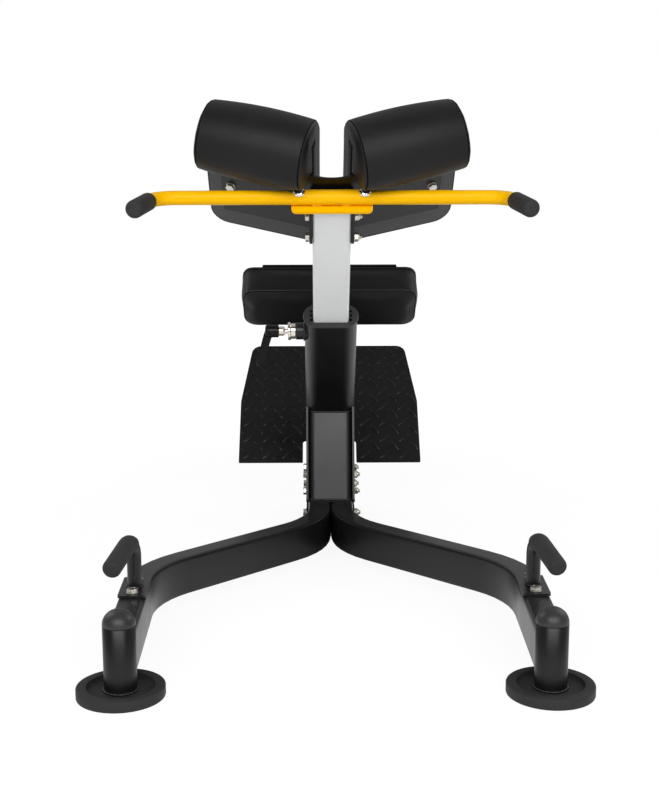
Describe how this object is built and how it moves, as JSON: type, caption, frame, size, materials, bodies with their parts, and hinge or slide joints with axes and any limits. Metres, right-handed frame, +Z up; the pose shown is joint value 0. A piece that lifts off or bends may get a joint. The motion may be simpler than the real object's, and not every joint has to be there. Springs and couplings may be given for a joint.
{
  "type": "hyperextension_bench",
  "caption": "Hyperextension bench: a sliding mast at 45 degrees with split thigh pads and a pull bar, a calf pad over a tread plate, and push-up handles on its forked legs.",
  "frame": {"origin": "bottom centre of the bounding box, on the floor", "axes": "+X to the right seen from the head end, +Y from the head end to the tread plate, +Z up"},
  "size_m": [0.9156, 1.4672, 1.0558],
  "materials": {
    "frame_black": "satin",
    "frame_grey": "satin",
    "tread_black": "satin",
    "silver": "satin",
    "yellow": "gloss",
    "vinyl": "matte",
    "board": "matte",
    "rubber": "matte",
    "grip": "matte",
    "liner": "satin",
    "cap_plastic": "satin",
    "zinc": "satin",
    "chrome": "polished",
    "lever_black": "gloss"
  },
  "bodies": {
    "base": {"brace": "frame_grey", "calf_arm": "frame_black", "calf_bolt_1": "zinc", "calf_bolt_2": "zinc", "calf_pad": "vinyl", "calf_plate": "frame_black", "cheek_bolt_1_1": "zinc", "cheek_bolt_1_2": "zinc", "cheek_bolt_2_1": "zinc", "cheek_bolt_2_2": "zinc", "cheek_left": "frame_black", "cheek_right": "frame_black", "foot_cap_left": "cap_plastic", "foot_cap_right": "cap_plastic", "foot_post_left": "frame_black", "foot_post_right": "frame_black", "foot_rubber_left": "rubber", "foot_rubber_right": "rubber", "hitch_plate_left": "frame_black", "hitch_plate_right": "frame_black", "junction_box": "frame_black", "leg_bolt": "zinc", "leg_left": "frame_black", "leg_right": "frame_black", "liner": "liner", "pin_collar": "chrome", "rear_foot": "rubber", "sleeve": "frame_black", "spine": "frame_black", "step_bolt_left_1": "zinc", "step_bolt_left_2": "zinc", "step_bolt_right_1": "zinc", "step_bolt_right_2": "zinc", "step_grip_left": "grip", "step_grip_right": "grip", "step_handle_left": "frame_black", "step_handle_right": "frame_black", "tread_plate": "tread_black", "tread_rail": "frame_black"},
    "carriage": {"bar_bolt_left": "chrome", "bar_bolt_right": "chrome", "bar_grip_left": "grip", "bar_grip_right": "grip", "bar_plate": "yellow", "head_bolt_1": "zinc", "head_bolt_2": "zinc", "head_bracket": "frame_black", "inner_tube": "silver", "pad_board_left": "board", "pad_board_right": "board", "pad_bolt_left_1": "zinc", "pad_bolt_left_2": "zinc", "pad_bolt_right_1": "zinc", "pad_bolt_right_2": "zinc", "pull_bar": "yellow", "thigh_pad_left": "vinyl", "thigh_pad_right": "vinyl", "wing_plate": "frame_black"},
    "pin": {"pull_pin": "chrome"},
    "lever": {"lever": "lever_black"}
  },
  "joints": [
    {"name": "mast_slide", "type": "slide", "parent": "base", "child": "carriage", "axis": [0, -0.7071, 0.7071], "range_m": [-0.21, 0.06]},
    {"name": "pin_pull", "type": "slide", "parent": "base", "child": "pin", "axis": [-1, 0, 0], "range_m": [0, 0.012], "stiffness_N_per_m": 400, "springref_m": -0.005},
    {"name": "lever_turn", "type": "hinge", "parent": "pin", "child": "lever", "pos_m": [-0.135, 0.12758, 0.55098], "axis": [1, 0, 0], "range_deg": [-75, 75]}
  ]
}
